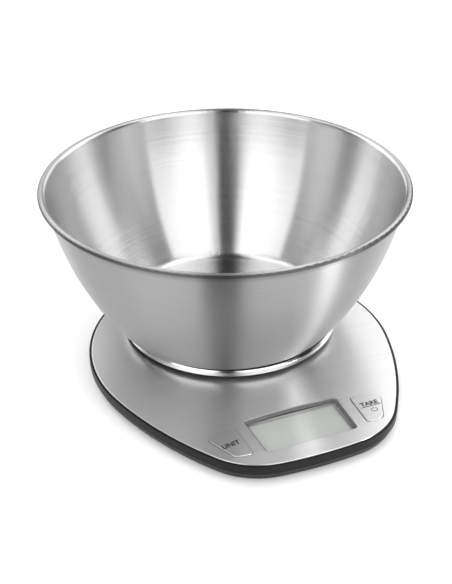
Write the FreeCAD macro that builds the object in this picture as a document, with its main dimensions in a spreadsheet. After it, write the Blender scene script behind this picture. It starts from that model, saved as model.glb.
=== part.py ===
import FreeCAD, Part
import math
import os
import re
import Sketcher

# Electronic kitchen scale: a slim pebble-shaped base, a round weighing platter on a
# single-point load cell, and a loose stainless mixing bowl that stands on the platter.
# Millimetres. Origin: on the table, in the middle of the whole object's length. +Z up,
# display towards -Y. Outlines and positions below are measured from the platter's axis,
# which stands platter_y behind the origin. The base's middle line runs beside that axis,
# at mid_line_x, and what belongs to the base on both sides is measured from this line.

V = FreeCAD.Vector
UP = V(0, 0, 1)
QUARTER = math.pi / 2

doc = FreeCAD.newDocument("kitchen_scale")
sheet = doc.addObject("Spreadsheet::Sheet", "Sizes")

DIMENSIONS = {
    "platter_y": 15.8,
    "mid_line_x": -5,
    # outline of the steel cover, seen from above: a chain of tangent arcs, front to rear
    "front_reach": 147.7,
    "rear_reach": 72,
    "front_radius": 250,
    "corner_radius": 44,
    "side_radius": 228,
    "shoulder_radius": 102,
    "rear_radius": 66,
    "front_turn": 5.8,
    "corner_turn": 49.3,
    # heights of the base
    "base_height": 13.0,
    "ground_clearance": 2.0,
    "floor_thickness": 1.8,
    "seam_height": 7.4,
    "frame_thickness": 1.4,
    "cover_thickness": 0.8,
    # plastic casing
    "rim_overhang": 1.6,
    "rim_drop": 0.3,
    "cover_gap": 0.25,
    "frame_wall_inset": 1.2,
    "shell_foot_inset": 0.8,
    "shell_taper": 20,
    "shell_round": 2.0,
    "shell_wall_inset": 2.6,
    # display window and keys
    "window_far": 103.6,
    "window_near": 135.3,
    "window_far_half": 30.0,
    "window_near_half": 29.0,
    "window_arch": 1.8,
    "window_round": 2.4,
    "arch_radius": 300,
    "window_ledge": 0.9,
    "well_wall": 1.6,
    "well_low": 9.2,
    "lens_rebate": 0.6,
    "lens_thickness": 1.0,
    "key_inner_far_x": 37.3,
    "key_far_y": 108.3,
    "key_outer_far_x": 56.5,
    "key_outer_far_y": 110.8,
    "key_outer_near_x": 47.0,
    "key_outer_near_y": 132.4,
    "key_inner_near_x": 36.2,
    "key_inner_near_y": 133.6,
    "key_round": 2.6,
    "key_gap": 0.4,
    "key_rise": 0.45,
    "key_cap_thickness": 0.8,
    "key_flange": 1.2,
    "key_flange_low": 9.8,
    "key_flange_high": 10.75,
    "key_x": 45.5,
    "key_y": 120,
    "plunger_radius": 1.5,
    "plunger_low": 6.9,
    "plunger_high": 7.7,
    # circuit board and display
    "board_low": 4.6,
    "board_thickness": 1.6,
    "board_far": 92.5,
    "board_near": 135.3,
    "board_half": 62,
    "board_shoulder": 108,
    "board_near_half": 43,
    "display_y": 119.1,
    "display_width": 57,
    "display_depth": 30,
    "display_low": 7.4,
    "display_thickness": 1.6,
    "holder_wall": 1.2,
    "switch_size": 6.0,
    "switch_height": 1.1,
    # load cell
    "cell_length": 80,
    "cell_width": 12.7,
    "cell_height": 6.0,
    "cell_low": 4.6,
    "cell_screw_far": 36,
    "cell_screw_near": 26,
    "spacer_length": 19,
    "spacer_thickness": 0.8,
    "slot_half_length": 44,
    "slot_half_width": 11,
    # platter
    "platter_gap": 2.7,
    "platter_radius": 69,
    "platter_height": 4.0,
    "lip_thickness": 0.5,
    "disc_radius": 68.2,
    "disc_top": 19.1,
    "disc_web": 17.0,
    "pad_radius": 67.2,
    "pad_rise": 0.6,
    "rib_thickness": 1.6,
    "disc_screw_radius": 1.25,
    "disc_screw_y": 5.5,
    # bowl
    "bowl_height": 93.8,
    "rim_radius": 115,
    "bowl_mouth": 111.2,
    "bowl_heel": 71.0,
    "heel_height": 1.6,
    "bowl_flat": 66.5,
    "wall_radius": 198,
    "sheet_steel": 0.8,
    "hem_depth": 1.9,
    "heel_bend": 3.0,
    "heel_bend_inside": 8.0,
    "foot_bend": 1.6,
    "rim_bend": 1.4,
    "rim_bend_inside": 2.4,
    "under_rim_bend": 1.6,
    "bowl_aside": -1.5,
    "bowl_back": 1.9,
    # battery compartment
    "battery_y": 40,
    "coin_radius": 10,
    "coin_low": 4.9,
    "coin_thickness": 3.2,
    "holder_radius": 15.6,
    "holder_top": 9.6,
    "cap_radius": 12.3,
    "tab_reach": 13.9,
    "tab_angle": 28,
    "notch_angle": 36,
    "unlock_angle": 45,
    # feet and screws
    "foot_radius": 6.0,
    "foot_height": 2.6,
    "post_radius": 3.2,
    "post_low": 6.0,
    "case_screw_radius": 1.25,
    "board_screw_radius": 0.9,
    "wire_radius": 0.5,
}

for row, (alias, number) in enumerate(DIMENSIONS.items(), start=1):
    sheet.set("A%d" % row, alias)
    sheet.set("B%d" % row, str(number))
    sheet.setAlias("B%d" % row, alias)
doc.recompute()

# levels that several pieces share, as expressions of the driving dimensions
COVER_LOW = "(base_height - cover_thickness)"
PLATE_LOW = "(base_height - cover_thickness - frame_thickness)"
FLOOR_TOP = "(ground_clearance + floor_thickness)"
BOARD_TOP = "(board_low + board_thickness)"
CELL_TOP = "(cell_low + cell_height)"
PLATTER_LOW = "(base_height + platter_gap)"
BOWL_SEAT = "(base_height + platter_gap + platter_height + pad_rise)"
HUB_LOW = "(cell_low + cell_height + spacer_thickness)"
HUB_X = "(-(cell_screw_far + cell_screw_near) / 2)"

CASE_SCREWS = ((80, -20), (-80, -20), (66, -84), (-66, -84), (40, 48), (-40, 48))
BOARD_SCREWS = ((58, -98.5), (-58, -98.5), (0, -97))
FEET = ((47, 35), (-47, 35), (40, -128), (-40, -128))


# ---------------------------------------------------------------- expressions

def full(text):
    """Write each alias in an expression with the sheet's name before it."""
    def named(word):
        return "Sizes." + word.group(0) if word.group(0) in DIMENSIONS else word.group(0)
    return re.sub(r"[a-z_]+", named, str(text))


def value(text):
    return float(sheet.evalExpression(full(text)))


def bind(thing, name, text):
    thing.setExpression(name, full(text))


def place(thing, x="0", y="0", z="0"):
    """Put a thing at x, y measured from the platter's axis, and z from the table."""
    for axis, text in (("x", x), ("y", "platter_y + (%s)" % y), ("z", z)):
        bind(thing, "Placement.Base." + axis, text)
    return thing


# ---------------------------------------------------------------- solids

def mid(x):
    """A distance to the right of the base's middle line."""
    return "mid_line_x + (%s)" % x


def spots(places):
    return [(mid(x), str(y)) for x, y in places]


def cylinder(x, y, low, high, radius, angle=None, start="0"):
    thing = doc.addObject("Part::Cylinder", "cylinder")
    bind(thing, "Radius", radius)
    bind(thing, "Height", "(%s) - (%s)" % (high, low))
    if angle:
        bind(thing, "Angle", angle)
        thing.Placement = FreeCAD.Placement(V(), FreeCAD.Rotation(UP, value(start)))
    return place(thing, x, y, low)


def cone(x, y, low, high, low_radius, high_radius):
    thing = doc.addObject("Part::Cone", "cone")
    bind(thing, "Radius1", low_radius)
    bind(thing, "Radius2", high_radius)
    bind(thing, "Height", "(%s) - (%s)" % (high, low))
    return place(thing, x, y, low)


def block(x, y, low, high, length, width):
    """Upright block centred on x, y."""
    thing = doc.addObject("Part::Box", "block")
    bind(thing, "Length", length)
    bind(thing, "Width", width)
    bind(thing, "Height", "(%s) - (%s)" % (high, low))
    return place(thing, "(%s) - (%s) / 2" % (x, length), "(%s) - (%s) / 2" % (y, width), low)


def prism(outline, grow, low, high, taper=None):
    """The space inside an outline, grown outwards by a distance, between two heights."""
    source = outline
    if value(grow):
        source = doc.addObject("Part::Offset2D", "grown")
        source.Source = outline
        bind(source, "Value", grow)
    thing = doc.addObject("Part::Extrusion", "prism")
    thing.Base = source
    thing.DirMode = "Custom"
    thing.Dir = UP
    thing.Solid = True
    bind(thing, "LengthFwd", "(%s) - (%s)" % (high, low))
    if taper:
        bind(thing, "TaperAngle", taper)
    return place(thing, "mid_line_x", z=low)


def join(things):
    thing = doc.addObject("Part::MultiFuse", "join")
    thing.Shapes = things
    return thing


def cut(base, tools):
    thing = doc.addObject("Part::Cut", "cut")
    thing.Base = base
    thing.Tool = tools[0] if len(tools) == 1 else join(tools)
    return thing


def group(things):
    """Separate solids kept side by side in one piece."""
    thing = doc.addObject("Part::Compound", "group")
    thing.Links = things
    return thing


def round_edges(base, radius, wanted):
    """Round every edge that the test accepts."""
    doc.recompute()
    thing = doc.addObject("Part::Fillet", "rounded")
    thing.Base = base
    size = value(radius)
    chosen = [i for i, edge in enumerate(base.Shape.Edges, start=1) if wanted(edge)]
    thing.Edges = [(i, size, size) for i in chosen]
    return thing


def at_height(level):
    z = value(level)
    return lambda edge: abs(edge.BoundBox.ZMin - z) < 1e-4 and abs(edge.BoundBox.ZMax - z) < 1e-4


def upright(edge):
    box = edge.BoundBox
    return box.XLength < 1e-4 and box.YLength < 1e-4


# ---------------------------------------------------------------- sketches

def origin_item(body, role):
    """A plane or an axis of the body's own origin."""
    return next(item for item in body.Origin.OriginFeatures if item.Role == role)


def new_body(name, z="0"):
    body = doc.addObject("PartDesign::Body", name)
    return place(body, z=z)


def body_sketch(body, name, role="XY_Plane"):
    sketch = body.newObject("Sketcher::SketchObject", name)
    sketch.AttachmentSupport = [(origin_item(body, role), "")]
    sketch.MapMode = "FlatFace"
    return sketch


def dimension(sketch, tag, text, *constraint):
    """Add one dimension that the sheet drives."""
    index = sketch.addConstraint(Sketcher.Constraint(*constraint, value(text)))
    sketch.renameConstraint(index, tag)
    bind(sketch, "Constraints." + tag, text)


def pin(sketch, tag, x, y, item, point):
    """Hold one point of a sketch at x, y."""
    for letter, text, kind, axis in (("x", x, "DistanceX", -2), ("y", y, "DistanceY", -1)):
        if abs(value(text)) < 1e-9:
            sketch.addConstraint(Sketcher.Constraint("PointOnObject", item, point, axis))
        else:
            dimension(sketch, "%s_%s" % (tag, letter), text, kind, -1, 1, item, point)


def draw_circle(sketch, tag, x, y, radius):
    circle = Part.Circle(V(value(x), value(y), 0), UP, value(radius))
    item = sketch.addGeometry(circle, False)
    pin(sketch, tag, x, y, item, 3)
    dimension(sketch, tag + "_radius", radius, "Radius", item)


def draw_polygon(sketch, tag, corners):
    """Closed straight-sided outline through the corners, each held in place."""
    spots = [V(value(x), value(y), 0) for x, y in corners]
    count = len(spots)
    first = sketch.GeometryCount
    for i in range(count):
        sketch.addGeometry(Part.LineSegment(spots[i], spots[(i + 1) % count]), False)
    for i, (x, y) in enumerate(corners):
        before = first + (i - 1) % count
        sketch.addConstraint(Sketcher.Constraint("Coincident", before, 2, first + i, 1))
        pin(sketch, "%s_%d" % (tag, i), x, y, first + i, 1)


def draw_rounded(sketch, corners):
    """Closed outline with a rounded corner at each x, y, radius, counter-clockwise."""
    spots = [V(value(x), value(y), 0) for x, y, radius in corners]
    count = len(spots)
    sides = [(spots[(i + 1) % count] - spots[i]).normalize() for i in range(count)]
    trims, arcs = [], []
    for i, (x, y, radius) in enumerate(corners):
        size = value(radius)
        turn = sides[i - 1].getAngle(sides[i])
        trims.append(size * math.tan(turn / 2))
        inward = (sides[i] - sides[i - 1]).normalize()
        centre = spots[i] + inward * (size / math.cos(turn / 2))
        heading = math.atan2(sides[i - 1].y, sides[i - 1].x) - QUARTER
        arcs.append(Part.ArcOfCircle(Part.Circle(centre, UP, size), heading, heading + turn))
    for i in range(count):
        start = spots[i] + sides[i] * trims[i]
        end = spots[(i + 1) % count] - sides[i] * trims[(i + 1) % count]
        sketch.addGeometry([arcs[i], Part.LineSegment(start, end)], False)
    for i, (x, y, radius) in enumerate(corners):
        arc, line, before = 2 * i, 2 * i + 1, (2 * i - 1) % (2 * count)
        sketch.addConstraint(Sketcher.Constraint("Tangent", before, 2, arc, 1))
        sketch.addConstraint(Sketcher.Constraint("Tangent", arc, 2, line, 1))
        dimension(sketch, "round_%d" % i, radius, "Radius", arc)
        corner = sketch.addGeometry(Part.Point(spots[i]), True)
        sketch.addConstraint(Sketcher.Constraint("PointOnObject", corner, 1, before))
        sketch.addConstraint(Sketcher.Constraint("PointOnObject", corner, 1, line))
        pin(sketch, "corner_%d" % i, x, y, corner, 1)


def draw_pebble(sketch):
    """The base's outline: eight tangent arcs, the same on both sides of the middle line."""
    radii = [value(name) for name in ("front_radius", "corner_radius", "side_radius",
                                      "shoulder_radius", "rear_radius")]
    front_r, corner_r, side_r, shoulder_r, rear_r = radii
    turn_1 = math.radians(value("front_turn"))
    turn_2 = turn_1 + math.radians(value("corner_turn"))
    front = V(0, front_r - value("front_reach"), 0)
    rear = V(0, value("rear_reach") - rear_r, 0)
    corner = front + V(math.sin(turn_1), -math.cos(turn_1), 0) * (front_r - corner_r)
    side = corner + V(math.sin(turn_2), -math.cos(turn_2), 0) * (corner_r - side_r)
    # the shoulder arc's centre lies where it touches both the side arc and the rear arc
    across = rear - side
    reach_side, reach_rear = side_r - shoulder_r, shoulder_r - rear_r
    along = (reach_side ** 2 - reach_rear ** 2 + across.Length ** 2) / (2 * across.Length)
    aside = math.sqrt(reach_side ** 2 - along ** 2)
    ahead = V(across).normalize()
    shoulder = side + ahead * along - V(-ahead.y, ahead.x, 0) * aside
    turn_3 = math.atan2(shoulder.x - side.x, side.y - shoulder.y)
    turn_4 = math.atan2(rear.x - shoulder.x, shoulder.y - rear.y)
    turns = [-turn_1, turn_1, turn_2, turn_3, turn_4, 2 * math.pi - turn_4,
             2 * math.pi - turn_3, 2 * math.pi - turn_2, 2 * math.pi - turn_1]
    mirrored = [V(-spot.x, spot.y, 0) for spot in (shoulder, side, corner)]
    centres = [front, corner, side, shoulder, rear] + mirrored
    for i, centre in enumerate(centres):
        radius = radii[i] if i < len(radii) else radii[len(centres) - i]
        circle = Part.Circle(centre, UP, radius)
        arc = Part.ArcOfCircle(circle, turns[i] - QUARTER, turns[i + 1] - QUARTER)
        sketch.addGeometry(arc, False)
    for i in range(len(centres)):
        sketch.addConstraint(Sketcher.Constraint("Tangent", i, 2, (i + 1) % len(centres), 1))
    for right, left in ((1, 7), (2, 6), (3, 5)):
        sketch.addConstraint(Sketcher.Constraint("Equal", right, left))
    for i, name in enumerate(("front", "corner", "side", "shoulder", "rear")):
        dimension(sketch, name + "_size", name + "_radius", "Radius", i)
    for i in (0, 4):
        sketch.addConstraint(Sketcher.Constraint("PointOnObject", i, 3, -2))
    dimension(sketch, "front_centre", "front_radius - front_reach", "DistanceY", -1, 1, 0, 3)
    dimension(sketch, "rear_centre", "rear_reach - rear_radius", "DistanceY", -1, 1, 4, 3)
    for tag, i, text, angle in (("front_span", 0, "2 * front_turn", 2 * turn_1),
                                ("right_span", 1, "corner_turn", turn_2 - turn_1),
                                ("left_span", 7, "corner_turn", turn_2 - turn_1)):
        index = sketch.addConstraint(Sketcher.Constraint("Angle", i, angle))
        sketch.renameConstraint(index, tag)
        bind(sketch, "Constraints." + tag, text)
    sketch.addConstraint(Sketcher.Constraint("Horizontal", 0, 1, 0, 2))


def make_outlines():
    """Master outlines of the base, the display window and the two keys."""
    pebble = doc.addObject("Sketcher::SketchObject", "base_outline")
    draw_pebble(pebble)
    window = doc.addObject("Sketcher::SketchObject", "window_outline")
    draw_rounded(window, [
        ("-window_near_half", "-window_near", "window_round"),
        ("window_near_half", "-window_near", "window_round"),
        ("window_far_half", "-window_far", "window_round"),
        ("0", "window_arch - window_far", "arch_radius"),
        ("-window_far_half", "-window_far", "window_round")])
    right = [("key_inner_near_x", "-key_inner_near_y", "key_round"),
             ("key_outer_near_x", "-key_outer_near_y", "1.7 * key_round"),
             ("key_outer_far_x", "-key_outer_far_y", "1.5 * key_round"),
             ("key_inner_far_x", "-key_far_y", "0.6 * key_round")]
    tare = doc.addObject("Sketcher::SketchObject", "tare_key_outline")
    draw_rounded(tare, right)
    unit = doc.addObject("Sketcher::SketchObject", "unit_key_outline")
    draw_rounded(unit, [("-" + x, y, radius) for x, y, radius in reversed(right)])
    doc.recompute()
    return pebble, window, tare, unit


NODES = []


def node(thing, label):
    """Name a finished piece and put it on the list of files to write."""
    doc.recompute()
    thing.Label = label
    NODES.append(thing)
    return thing


# ---------------------------------------------------------------- casing

def make_top_cover(pebble, window, keys):
    """Brushed steel sheet with cut-outs for the window, the keys and the platter's hub."""
    sheet_metal = prism(pebble, "0", COVER_LOW, "base_height")
    sheet_metal = round_edges(sheet_metal, "0.5 * cover_thickness", at_height("base_height"))
    openings = [prism(window, "0", COVER_LOW + " - 1", "base_height + 1")]
    openings += [prism(key, "key_gap", COVER_LOW + " - 1", "base_height + 1") for key in keys]
    openings.append(hub_opening(COVER_LOW + " - 1", "base_height + 1"))
    node(cut(sheet_metal, openings), "top_cover")


def hub_opening(low, high):
    """Rounded hole for the platter's hub, over the free end of the load cell."""
    hole = block(HUB_X, "0", low, high, "28", "2 * slot_half_width")
    return round_edges(hole, "4", upright)


def make_upper_frame(pebble, window, keys):
    """Black plastic frame: the upper half of the side wall and the plate under the cover."""
    rim_top = "base_height - rim_drop"
    wall = prism(pebble, "rim_overhang", "seam_height", rim_top)
    wall = round_edges(wall, "0.5", at_height(rim_top))
    hollow = [prism(pebble, "cover_gap", COVER_LOW, "base_height"),
              prism(pebble, "-frame_wall_inset", "seam_height - 1", PLATE_LOW)]
    well = prism(window, "well_wall", "well_low", PLATE_LOW)
    posts = [cylinder(x, y, "post_low", PLATE_LOW, "post_radius")
             for x, y in spots(CASE_SCREWS)]
    posts += [cylinder(x, y, BOARD_TOP, PLATE_LOW, "0.8 * post_radius")
              for x, y in spots(BOARD_SCREWS)]
    body = join([cut(wall, hollow), well] + posts)
    lens_top = "well_low + lens_thickness"
    slot = block("0", "0", PLATE_LOW + " - 1", COVER_LOW + " + 1",
                 "2 * slot_half_length", "2 * slot_half_width")
    openings = [prism(window, "-window_ledge", "well_low - 1", "base_height"),
                prism(window, "lens_rebate", "well_low - 1", lens_top),
                round_edges(slot, "3", upright)]
    openings += [prism(key, "key_gap", PLATE_LOW + " - 1", "base_height") for key in keys]
    pilot_top = PLATE_LOW + " - 0.4"
    openings += [cylinder(x, y, "post_low - 1", pilot_top, "case_screw_radius")
                 for x, y in spots(CASE_SCREWS)]
    openings += [cylinder(x, y, BOARD_TOP + " - 1", pilot_top, "board_screw_radius")
                 for x, y in spots(BOARD_SCREWS)]
    node(cut(body, openings), "upper_frame")


def make_bottom_shell(pebble):
    """Plastic tray with a tapering side wall, screw bosses and the battery opening."""
    low, floor = "ground_clearance", FLOOR_TOP
    tray = prism(pebble, "-shell_foot_inset", low, "seam_height", taper="shell_taper")
    tray = round_edges(tray, "shell_round", at_height(low))
    tray = cut(tray, [prism(pebble, "-shell_wall_inset", floor, "seam_height + 1")])
    bosses = [cylinder(x, y, floor, "post_low", "1.12 * post_radius")
              for x, y in spots(CASE_SCREWS)]
    ribs = [block("0", side + "(slot_half_width + 1)", floor, "post_low", "120", "1.4")
            for side in ("", "-")]
    ribs += [block(mid(side + "60"), "-50", floor, "post_low", "1.4", "60")
             for side in ("", "-")]
    holes = []
    for x, y in spots(CASE_SCREWS):
        holes.append(cylinder(x, y, low + " - 1", "post_low + 1", "0.5 * post_radius"))
        holes.append(cylinder(x, y, low + " - 1", floor + " + 0.2",
                              "0.9 * post_radius"))
    for x, y in spots(FEET):
        holes.append(cylinder(x, y, low + " - 1", "foot_height",
                              "foot_radius + 0.15"))
    for x in ("cell_screw_far", "cell_screw_near"):
        holes.append(cone(x, "0", low, floor, "3.8", "2.1"))
    holes.append(cylinder("0", "battery_y", low + " - 1", floor + " + 1",
                          "cap_radius + 0.3"))
    for side in ("0", "180"):
        start = "%s - unlock_angle - notch_angle / 2" % side
        holes.append(cylinder("0", "battery_y", low + " - 1", floor + " + 1",
                              "tab_reach + 0.3", "notch_angle", start))
    node(cut(join([tray] + bosses + ribs), holes), "bottom_shell")


def make_feet():
    feet = []
    for x, y in spots(FEET):
        foot = cylinder(x, y, "0", "foot_height", "foot_radius")
        feet.append(round_edges(foot, "0.7", at_height("0")))
    node(group(feet), "rubber_feet")


def make_case_screws():
    screws = []
    for x, y in spots(CASE_SCREWS):
        head = cylinder(x, y, "ground_clearance + 0.3", FLOOR_TOP + " + 0.2",
                        "0.82 * post_radius")
        shank = cylinder(x, y, FLOOR_TOP + " + 0.2", PLATE_LOW + " - 0.6",
                         "case_screw_radius")
        slots = [block(x, y, "ground_clearance", "ground_clearance + 1", length, width)
                 for length, width in (("3", "0.7"), ("0.7", "3"))]
        screws.append(cut(join([head, shank]), slots))
    node(group(screws), "case_screws")


# ---------------------------------------------------------------- display and keys

def make_display(window):
    """Clear lens, liquid crystal panel, its holder and the two rubber contact strips."""
    lens = prism(window, "lens_rebate - 0.1", "well_low", "well_low + lens_thickness")
    node(lens, "display_lens")
    middle = "-display_y"
    panel = block(mid(0), middle, "display_low", "display_low + display_thickness",
                  "display_width", "display_depth")
    node(panel, "lcd_panel")
    outer = block(mid(0), middle, BOARD_TOP, "display_low + display_thickness",
                  "display_width + 2 * holder_wall + 0.4", "display_depth + 2 * holder_wall")
    outer = round_edges(outer, "1", upright)
    inner = block(mid(0), middle, BOARD_TOP + " - 1", "display_low + display_thickness + 1",
                  "display_width + 0.4", "display_depth + 0.4")
    node(cut(outer, [inner]), "lcd_holder")
    strips = [block(mid(0), "-display_y + %s(display_depth / 2 - 1.6)" % side, BOARD_TOP,
                    "display_low", "50", "2.2") for side in ("", "-")]
    node(group(strips), "zebra_strips")


def make_key(name, outline, side):
    """One key: steel cap, plastic carrier with a retaining flange and a pin, its switch."""
    x, y = mid(side + "key_x"), "-key_y"
    cap_low = "base_height + key_rise - key_cap_thickness"
    cap = prism(outline, "0", cap_low, "base_height + key_rise")
    cap = round_edges(cap, "0.35", at_height("base_height + key_rise"))
    node(cap, name + "_key_cap")
    stem = prism(outline, "-key_gap", "key_flange_high", cap_low)
    flange = prism(outline, "key_flange", "key_flange_low", "key_flange_high")
    pin_down = cylinder(x, y, "plunger_high", "key_flange_low", "plunger_radius + 0.1")
    node(join([stem, flange, pin_down]), name + "_key_carrier")
    plunger = cylinder(x, y, "plunger_low", "plunger_high", "plunger_radius")
    node(plunger, name + "_switch_plunger")
    housing = block(x, y, BOARD_TOP, BOARD_TOP + " + switch_height", "switch_size",
                    "switch_size")
    bore = cylinder(x, y, BOARD_TOP + " + 0.2", BOARD_TOP + " + switch_height + 1",
                    "plunger_radius + 0.15")
    node(cut(round_edges(housing, "0.5", upright), [bore]), name + "_switch")


def make_board():
    """Circuit board under the display, its screws and what is soldered to it."""
    body = place(new_body("main_board"), "mid_line_x", z="board_low")
    sketch = body_sketch(body, "board_outline")
    draw_polygon(sketch, "edge", [
        ("-board_near_half", "-board_near"), ("board_near_half", "-board_near"),
        ("board_half", "-board_shoulder"), ("board_half", "-board_far"),
        ("-board_half", "-board_far"), ("-board_half", "-board_shoulder")])
    for i, (x, y) in enumerate(BOARD_SCREWS):
        draw_circle(sketch, "hole_%d" % i, str(x), str(y), "board_screw_radius + 0.2")
    pad = body.newObject("PartDesign::Pad", "board")
    pad.Profile = sketch
    bind(pad, "Length", "board_thickness")
    node(body, "main_board")

    chip = cylinder(mid(16), "-98", BOARD_TOP, BOARD_TOP + " + 1.3", "4.4")
    node(round_edges(chip, "1", at_height(BOARD_TOP + " + 1.3")), "controller_chip")

    parts = [cylinder(mid(-40), "-98", BOARD_TOP, BOARD_TOP + " + 4", "2")]
    for i in range(5):
        parts.append(block(mid(-28 + 4.2 * i), "-97.5", BOARD_TOP, BOARD_TOP + " + 0.7",
                           "2", "1.3"))
    parts.append(block(mid(38), "-97.5", BOARD_TOP, BOARD_TOP + " + 1.4", "6", "2.6"))
    node(group(parts), "board_components")

    screws = []
    for x, y in spots(BOARD_SCREWS):
        head = cylinder(x, y, "board_low - 0.7", "board_low",
                        "2 * board_screw_radius")
        shank = cylinder(x, y, "board_low", "board_low + 5", "board_screw_radius")
        screws.append(join([head, shank]))
    node(group(screws), "board_screws")


# ---------------------------------------------------------------- weighing mechanism

def make_load_cell():
    """Aluminium bending bar with a thinned middle, spacers, screws and strain gauges."""
    bar = block("0", "0", "cell_low", CELL_TOP, "cell_length", "cell_width")
    middle = "cell_low + cell_height / 2"
    holes = []
    for x in ("-7", "7"):
        bore = doc.addObject("Part::Cylinder", "flexure_bore")
        bind(bore, "Radius", "0.37 * cell_height")
        bind(bore, "Height", "cell_width + 2")
        bore.Placement = FreeCAD.Placement(V(), FreeCAD.Rotation(V(1, 0, 0), 90))
        holes.append(place(bore, x, "cell_width / 2 + 1", middle))
    holes.append(block("0", "0", middle + " - 0.8", middle + " + 0.8", "14", "cell_width + 2"))
    for x in ("cell_screw_far", "cell_screw_near"):
        holes.append(cylinder(x, "0", "cell_low - 1", CELL_TOP + " + 1", "2"))
        holes.append(cylinder("-" + x, "0", "cell_low - 1", CELL_TOP + " + 1", "2.3"))
        holes.append(cone("-" + x, "0", "cell_low", "cell_low + 1.7", "3.9", "2.2"))
    node(cut(bar, holes), "load_cell")

    spacer_x = "cell_length / 2 - spacer_length / 2"
    shim = block(spacer_x, "0", FLOOR_TOP, "cell_low", "spacer_length", "cell_width")
    shim_holes = [cylinder(x, "0", FLOOR_TOP + " - 1", "cell_low + 1", "2.2")
                  for x in ("cell_screw_far", "cell_screw_near")]
    node(cut(shim, shim_holes), "cell_spacer_fixed")

    shim = block("-(%s)" % spacer_x, "0", CELL_TOP, HUB_LOW, "spacer_length", "cell_width")
    shim_holes = [cylinder("-" + x, "0", CELL_TOP + " - 1", HUB_LOW + " + 1", "2.2")
                  for x in ("cell_screw_far", "cell_screw_near")]
    node(cut(shim, shim_holes), "cell_spacer_free")

    node(group([countersunk(x, "ground_clearance + 0.1", CELL_TOP + " - 0.4")
                for x in ("cell_screw_far", "cell_screw_near")]), "load_cell_screws")

    gauges = [block("0", "0", CELL_TOP, CELL_TOP + " + 0.4", "26", "9"),
              block("0", "0", "cell_low - 0.4", "cell_low", "26", "9")]
    node(group(gauges), "strain_gauges")


def countersunk(x, low, high):
    head = cone(x, "0", low, low + " + 1.6", "3.5", "2")
    shank = cylinder(x, "0", low + " + 1.6", high, "2")
    return join([head, shank])


# ---------------------------------------------------------------- platter

def revolve(body, sketch):
    turned = body.newObject("PartDesign::Revolution", "turned")
    turned.Profile = sketch
    turned.ReferenceAxis = (origin_item(body, "Z_Axis"), [""])
    turned.Angle = 360
    doc.recompute()
    return turned


def make_platter():
    """Polished trim ring, black disc with ribs, rubber pad, hub and the hub's screws."""
    body = new_body("platter_trim_ring", PLATTER_LOW)
    sketch = body_sketch(body, "ring_section", "XZ_Plane")
    draw_polygon(sketch, "ring", [
        ("disc_radius - 1.2", "0"), ("platter_radius - 0.5", "0"), ("platter_radius", "0.6"),
        ("platter_radius", "platter_height - 1"),
        ("platter_radius - 0.8", "platter_height"),
        ("pad_radius + 0.2", "platter_height"),
        ("pad_radius + 0.2", "platter_height - lip_thickness"),
        ("disc_radius + 0.1", "platter_height - lip_thickness"),
        ("disc_radius + 0.1", "lip_thickness"), ("disc_radius - 1.2", "lip_thickness")])
    turned = revolve(body, sketch)
    soft = body.newObject("PartDesign::Fillet", "soft_edges")
    outer = value("platter_radius")
    names = ["Edge%d" % i for i, edge in enumerate(turned.Shape.Edges, start=1)
             if edge.BoundBox.XMax > outer - 0.6 and edge.BoundBox.YLength > 1]
    soft.Base = (turned, names)
    soft.Radius = 0.3
    node(body, "platter_trim_ring")

    body = new_body("turned_disc")
    sketch = body_sketch(body, "disc_section", "XZ_Plane")
    low = PLATTER_LOW + " + lip_thickness"
    draw_polygon(sketch, "disc", [
        ("0", "disc_web"), ("disc_radius - 2", "disc_web"), ("disc_radius - 2", low),
        ("disc_radius", low), ("disc_radius", "disc_top"), ("0", "disc_top")])
    revolve(body, sketch)
    rib_low = low + " + 0.3"
    ribs = [cut(cylinder("0", "0", rib_low, "disc_web", "46"),
                [cylinder("0", "0", rib_low + " - 1", "disc_web + 1", "46 - rib_thickness")])]
    for i in range(8):
        rib = doc.addObject("Part::Box", "rib")
        bind(rib, "Length", "disc_radius - 1.5 - 27")
        bind(rib, "Width", "rib_thickness")
        bind(rib, "Height", "disc_web - (%s)" % rib_low)
        angle = math.radians(22.5 + 45 * i)
        turn = FreeCAD.Rotation(UP, math.degrees(angle))
        start = turn.multVec(V(27, -value("rib_thickness") / 2, value(rib_low)))
        rib.Placement = FreeCAD.Placement(start + V(0, value("platter_y"), 0), turn)
        ribs.append(rib)
    holes = []
    for side in ("", "-"):
        y = side + "disc_screw_y"
        holes.append(cylinder(HUB_X, y, "disc_web - 1", "disc_top + 1", "disc_screw_radius + 0.1"))
        holes.append(cone(HUB_X, y, "disc_top - 1.2", "disc_top", "disc_screw_radius + 0.1",
                          "disc_screw_radius + 1.3"))
    node(cut(join([body] + ribs), holes), "platter_disc")

    screws = []
    for side in ("", "-"):
        y = side + "disc_screw_y"
        screws.append(join([
            cylinder(HUB_X, y, HUB_LOW + " + 1", "disc_top - 1.2", "disc_screw_radius"),
            cone(HUB_X, y, "disc_top - 1.2", "disc_top - 0.1", "disc_screw_radius",
                 "disc_screw_radius + 1.1")]))
    node(group(screws), "platter_disc_screws")

    pad = cylinder("0", "0", "disc_top", BOWL_SEAT, "pad_radius")
    node(round_edges(pad, "0.3", at_height(BOWL_SEAT)), "platter_pad")

    hub = round_edges(block(HUB_X, "0", HUB_LOW, "disc_web", "20", "2 * slot_half_width - 5"),
                      "3", upright)
    threads = [cylinder("-" + x, "0", HUB_LOW + " - 1", "disc_web - 0.8", "2")
               for x in ("cell_screw_far", "cell_screw_near")]
    threads += [cylinder(HUB_X, side + "disc_screw_y", HUB_LOW + " + 0.6", "disc_web + 1",
                         "disc_screw_radius") for side in ("", "-")]
    node(cut(hub, threads), "platter_hub")

    node(group([countersunk("-" + x, "cell_low + 0.1", "disc_web - 1")
                for x in ("cell_screw_far", "cell_screw_near")]), "platter_screws")


# ---------------------------------------------------------------- bowl

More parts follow.
